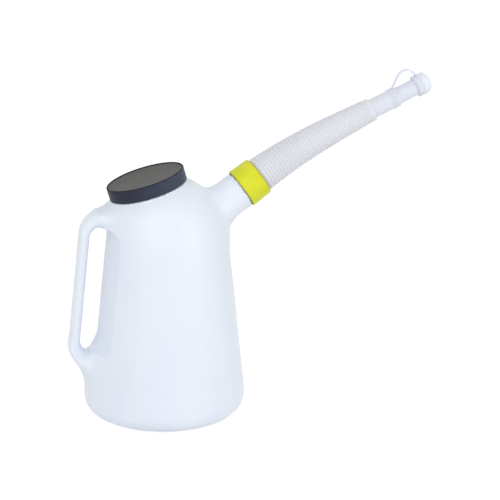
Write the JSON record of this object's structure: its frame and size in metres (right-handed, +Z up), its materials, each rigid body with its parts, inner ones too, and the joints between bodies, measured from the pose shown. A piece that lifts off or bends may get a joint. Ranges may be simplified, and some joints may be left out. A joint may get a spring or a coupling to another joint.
{
  "type": "measuring jug",
  "caption": "Upright blow-moulded measuring jug with a side handle, a slanted screw lid, a flexible corrugated pouring spout and a small tethered spout cap.",
  "frame": {"origin": "centre of the ring that the jug stands on, in the plane of the floor", "axes": "+Z up, +X from the handle towards the spout, +Y the third axis; the jug is symmetric about the XZ plane"},
  "size_m": [0.4791, 0.2, 0.4272],
  "materials": {
    "milky_body": "satin, translucent milky white",
    "dark_lid": "fine matt texture",
    "seal_foam": "soft, matt",
    "bright_nut": "satin, slightly translucent yellow-green",
    "washer_rubber": "soft, matt",
    "milky_hose": "satin, translucent milky white",
    "milky_nozzle": "satin, translucent milky white",
    "milky_cap": "satin, milky white"
  },
  "bodies": {
    "jug": {"jug": "milky_body"},
    "lid_carrier": {"lid_seal": "seal_foam"},
    "lid": {"lid": "dark_lid"},
    "spout_carrier": {"spout_washer": "washer_rubber"},
    "collar_nut": {"collar_nut": "bright_nut"},
    "hose": {"hose": "milky_hose"},
    "nozzle": {"nozzle": "milky_nozzle", "cap_strap": "milky_nozzle"},
    "tip_cap": {"tip_cap": "milky_cap"}
  },
  "joints": [
    {"name": "lid_lift", "type": "slide", "parent": "jug", "child": "lid_carrier", "axis": [-0.2723, 0, 0.9622], "range_m": [0, 0.012]},
    {"name": "lid_turn", "type": "hinge", "parent": "lid_carrier", "child": "lid", "pos_m": [0, 0, 0.2249], "axis": [-0.2723, 0, 0.9622], "range_deg": [0, 720]},
    {"name": "spout_lift", "type": "slide", "parent": "jug", "child": "spout_carrier", "axis": [0.8251, 0, 0.565], "range_m": [0, 0.015]},
    {"name": "collar_turn", "type": "hinge", "parent": "spout_carrier", "child": "collar_nut", "pos_m": [0.12377, 0, 0.30024], "axis": [0.8251, 0, 0.565], "range_deg": [0, 1080]},
    {"name": "spout_swivel", "type": "hinge", "parent": "spout_carrier", "child": "hose", "pos_m": [0.12377, 0, 0.30024], "axis": [0.8251, 0, 0.565], "range_deg": [-180, 180]},
    {"name": "spout_bend", "type": "hinge", "parent": "hose", "child": "nozzle", "pos_m": [0.19684, 0, 0.34264], "axis": [0, 1, 0], "range_deg": [-30, 50], "stiffness_Nm_per_rad": 1, "springref_deg": -1.03, "deforming": ["hose"]},
    {"name": "cap_pull", "type": "slide", "parent": "nozzle", "child": "tip_cap", "axis": [0.9128, 0, 0.4083], "range_m": [0, 0.012]}
  ],
  "couplings": [
    {"joint": "lid_lift", "follows": "lid_turn", "m_per_rad": 0.00095492},
    {"joint": "spout_lift", "follows": "collar_turn", "m_per_rad": 0.00079577}
  ]
}
